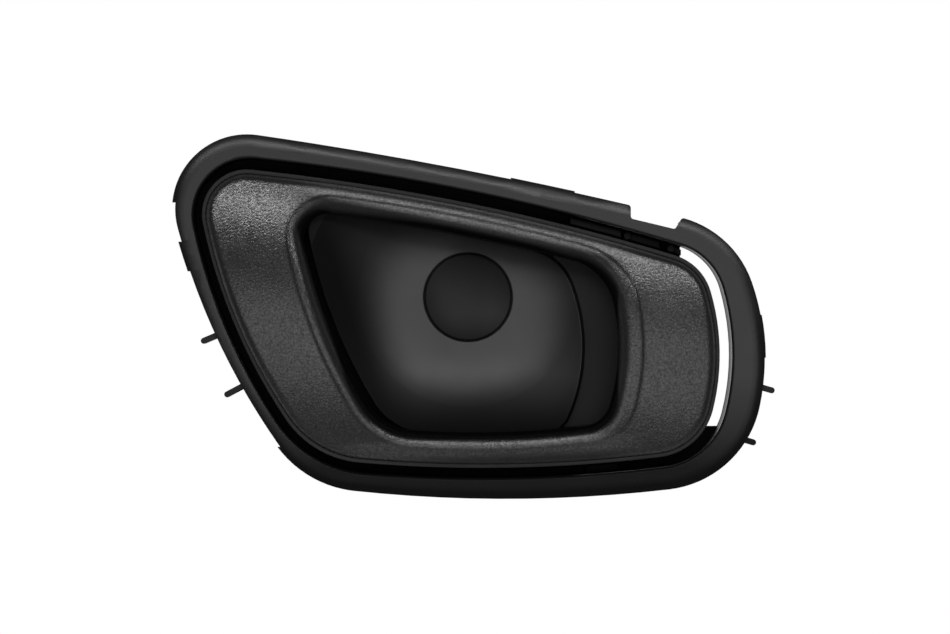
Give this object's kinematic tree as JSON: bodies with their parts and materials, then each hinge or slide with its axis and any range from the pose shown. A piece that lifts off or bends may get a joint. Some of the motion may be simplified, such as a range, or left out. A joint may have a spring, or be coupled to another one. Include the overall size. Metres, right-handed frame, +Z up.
{
  "type": "car interior door handle",
  "caption": "Black inside door handle: a grained, domed ring lever around a finger cup swings out on a hidden pin in a flanged housing with a capped mounting screw.",
  "frame": {"origin": "centre of the mounting screw hole at its rear seat, which meets the door", "axes": "+X to the right and +Z up as the hand sees the handle, +Y into the door, so the front faces -Y"},
  "size_m": [0.1689, 0.0462, 0.1022],
  "materials": {
    "housing_plastic": "smooth satin black",
    "lever_plastic": "smooth satin black",
    "grained_plastic": "fine leather grain, matt black",
    "cap_plastic": "smooth satin black",
    "pin_steel": "drawn steel",
    "spring_steel": "oiled spring wire",
    "screw_steel": "zinc plated",
    "bumper_rubber": "matt"
  },
  "bodies": {
    "housing": {"housing": "housing_plastic", "pivot_pin": "pin_steel", "return_spring": "spring_steel", "screw_cap": "cap_plastic", "rest_bumper_upper": "bumper_rubber", "rest_bumper_lower": "bumper_rubber"},
    "lever": {"lever_body": "lever_plastic", "lever_cover": "grained_plastic", "cover_screws": "screw_steel"}
  },
  "joints": [
    {"name": "lever_pull", "type": "hinge", "parent": "housing", "child": "lever", "pos_m": [-0.05095, -0.015, -0.00348], "axis": [0.3799, 0, -0.925], "range_deg": [0, 23], "stiffness_Nm_per_rad": 0.3, "springref_deg": -34.38, "deforming": ["return_spring"]}
  ]
}
